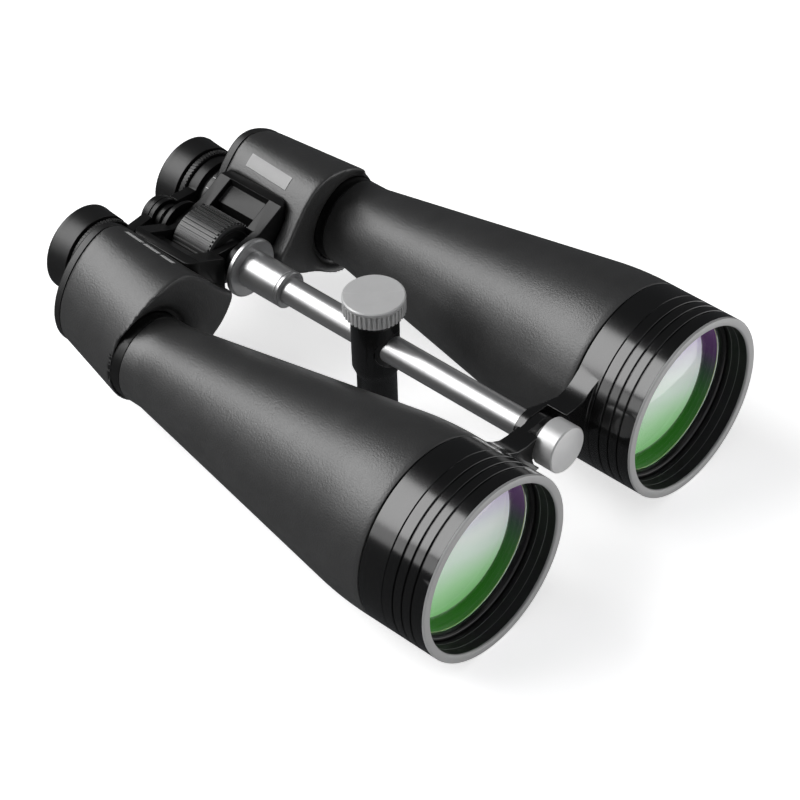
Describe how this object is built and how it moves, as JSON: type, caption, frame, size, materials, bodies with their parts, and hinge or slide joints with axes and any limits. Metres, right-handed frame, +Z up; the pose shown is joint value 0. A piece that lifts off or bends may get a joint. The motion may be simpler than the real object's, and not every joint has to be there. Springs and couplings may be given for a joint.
{
  "type": "astronomy binoculars",
  "caption": "Giant Porro-prism astronomy binoculars with ribbed objective hoods, centre rod, focus bridge and a sliding tripod post.",
  "frame": {"origin": "on the ground plane under the middle of the object, at the bottom centre of its bounding box", "axes": "+Y points from the objectives back to the eyepieces and +Z points up. Looking along +Y, +X is to the right: the left half lies on -X and the right half on +X."},
  "size_m": [0.235, 0.305, 0.094],
  "materials": {
    "hood_enamel": "gloss black enamel over aluminium, light grey machined front face",
    "brace_enamel": "semi-gloss black enamel over cast aluminium",
    "armour_rubber": "fine pebbled black rubber armour",
    "black_anodised": "satin black anodised",
    "coated_glass": "multi-coated optical glass, green and magenta reflection",
    "clear_glass": "polished optical glass",
    "matt_black": "flat black optical paint",
    "cast_black": "black powder-coated die casting",
    "cover_black": "black moulded plastic, fine grain",
    "screw_black": "black oxide steel",
    "shelf_alloy": "milled aluminium",
    "cork_pad": "cork-filled rubber",
    "eyecup_rubber": "soft smooth black rubber",
    "polished_steel": "bright satin-polished steel",
    "dark_steel": "oiled ground steel",
    "turned_alloy": "fine-turned bright aluminium",
    "wheel_plastic": "dark grey ribbed grip",
    "bush_nylon": "black nylon bush",
    "shoe_brass": "turned brass"
  },
  "bodies": {
    "centre_frame": {"centre_rod": "polished_steel", "rod_sleeve": "polished_steel", "rod_flange": "polished_steel", "hinge_tube": "dark_steel", "hinge_end_cap": "cast_black"},
    "left_half": {"left_hood": "hood_enamel", "left_front_brace": "brace_enamel", "left_barrel": "armour_rubber", "left_lens_cell": "black_anodised", "left_lens_retainer": "black_anodised", "left_front_lens": "coated_glass", "left_rear_lens": "clear_glass", "left_barrel_baffle": "matt_black", "left_prism_housing": "cast_black", "left_armour": "armour_rubber", "left_rear_cover": "cover_black", "left_cover_screws": "screw_black", "left_prism_shelf": "shelf_alloy", "left_front_prism": "clear_glass", "left_rear_prism": "clear_glass", "left_prism_pads": "cork_pad"},
    "right_half": {"right_hood": "hood_enamel", "right_front_brace": "brace_enamel", "right_barrel": "armour_rubber", "right_lens_cell": "black_anodised", "right_lens_retainer": "black_anodised", "right_front_lens": "coated_glass", "right_rear_lens": "clear_glass", "right_barrel_baffle": "matt_black", "right_prism_housing": "cast_black", "right_armour": "armour_rubber", "right_rear_cover": "cover_black", "right_cover_screws": "screw_black", "right_prism_shelf": "shelf_alloy", "right_front_prism": "clear_glass", "right_rear_prism": "clear_glass", "right_prism_pads": "cork_pad"},
    "tension_knob": {"tension_knob": "turned_alloy"},
    "focus_wheel": {"focus_wheel": "wheel_plastic"},
    "bridge": {"focus_screw": "dark_steel", "bridge_pin": "cast_black"},
    "left_eyepiece": {"left_eyepiece_tube": "black_anodised", "left_field_lens": "clear_glass", "left_eye_lens": "coated_glass", "left_eyecup": "eyecup_rubber", "left_eyepiece_arm": "cast_black", "left_grip_ring": "cover_black"},
    "right_eyepiece_carrier": {"right_eyepiece_arm": "cast_black"},
    "right_dioptre_ring": {"right_dioptre_ring": "cover_black"},
    "right_ocular": {"right_eyepiece_tube": "black_anodised", "right_field_lens": "clear_glass", "right_eye_lens": "coated_glass", "right_eyecup": "eyecup_rubber"},
    "post_bush": {"post_bush": "bush_nylon"},
    "tripod_post": {"tripod_post": "brace_enamel"},
    "clamp_shoe": {"clamp_shoe": "shoe_brass"},
    "clamp_knob": {"clamp_screw": "dark_steel", "clamp_knob": "turned_alloy"}
  },
  "joints": [
    {"name": "left_fold", "type": "hinge", "parent": "centre_frame", "child": "left_half", "pos_m": [0, 0.0875, 0.059], "axis": [0, -1, 0], "range_deg": [-2, 31]},
    {"name": "right_fold", "type": "hinge", "parent": "centre_frame", "child": "right_half", "pos_m": [0, 0.0875, 0.059], "axis": [0, 1, 0], "range_deg": [-2, 31]},
    {"name": "tension_turn", "type": "hinge", "parent": "centre_frame", "child": "tension_knob", "pos_m": [0, -0.1275, 0.059], "axis": [0, 1, 0], "range_deg": [-180, 180]},
    {"name": "focus_turn", "type": "hinge", "parent": "centre_frame", "child": "focus_wheel", "pos_m": [0, 0.0875, 0.059], "axis": [0, 1, 0], "range_deg": [-180, 180]},
    {"name": "bridge_slide", "type": "slide", "parent": "centre_frame", "child": "bridge", "axis": [0, 1, 0], "range_m": [-0.0025, 0.0025]},
    {"name": "left_eyepiece_slide", "type": "slide", "parent": "left_half", "child": "left_eyepiece", "axis": [0, 1, 0], "range_m": [-0.0025, 0.0025]},
    {"name": "right_eyepiece_slide", "type": "slide", "parent": "right_half", "child": "right_eyepiece_carrier", "axis": [0, 1, 0], "range_m": [-0.0025, 0.0025]},
    {"name": "dioptre_turn", "type": "hinge", "parent": "right_eyepiece_carrier", "child": "right_dioptre_ring", "pos_m": [0.03735, 0.1375, 0.0517], "axis": [0, 1, 0], "range_deg": [-60, 60]},
    {"name": "dioptre_slide", "type": "slide", "parent": "right_eyepiece_carrier", "child": "right_ocular", "axis": [0, 1, 0], "range_m": [-0.00089, 0.00089]},
    {"name": "post_slide", "type": "slide", "parent": "centre_frame", "child": "post_bush", "axis": [0, 1, 0], "range_m": [-0.02, 0.044]},
    {"name": "post_swing", "type": "hinge", "parent": "post_bush", "child": "tripod_post", "pos_m": [0, -0.0155, 0.059], "axis": [0, 1, 0], "range_deg": [-8, 8]},
    {"name": "clamp_lift", "type": "slide", "parent": "tripod_post", "child": "clamp_shoe", "axis": [0, 0, 1], "range_m": [0, 0.00125]},
    {"name": "clamp_turn", "type": "hinge", "parent": "clamp_shoe", "child": "clamp_knob", "pos_m": [0, -0.0155, 0.077], "axis": [0, 0, 1], "range_deg": [0, 360]}
  ],
  "couplings": [
    {"joint": "right_fold", "follows": "left_fold", "ratio": 1},
    {"joint": "focus_turn", "follows": "bridge_slide", "rad_per_m": 1256.6},
    {"joint": "left_eyepiece_slide", "follows": "bridge_slide", "ratio": 1},
    {"joint": "right_eyepiece_slide", "follows": "bridge_slide", "ratio": 1},
    {"joint": "dioptre_turn", "follows": "dioptre_slide", "rad_per_m": 1176.6},
    {"joint": "clamp_turn", "follows": "clamp_lift", "rad_per_m": 5026.5}
  ]
}
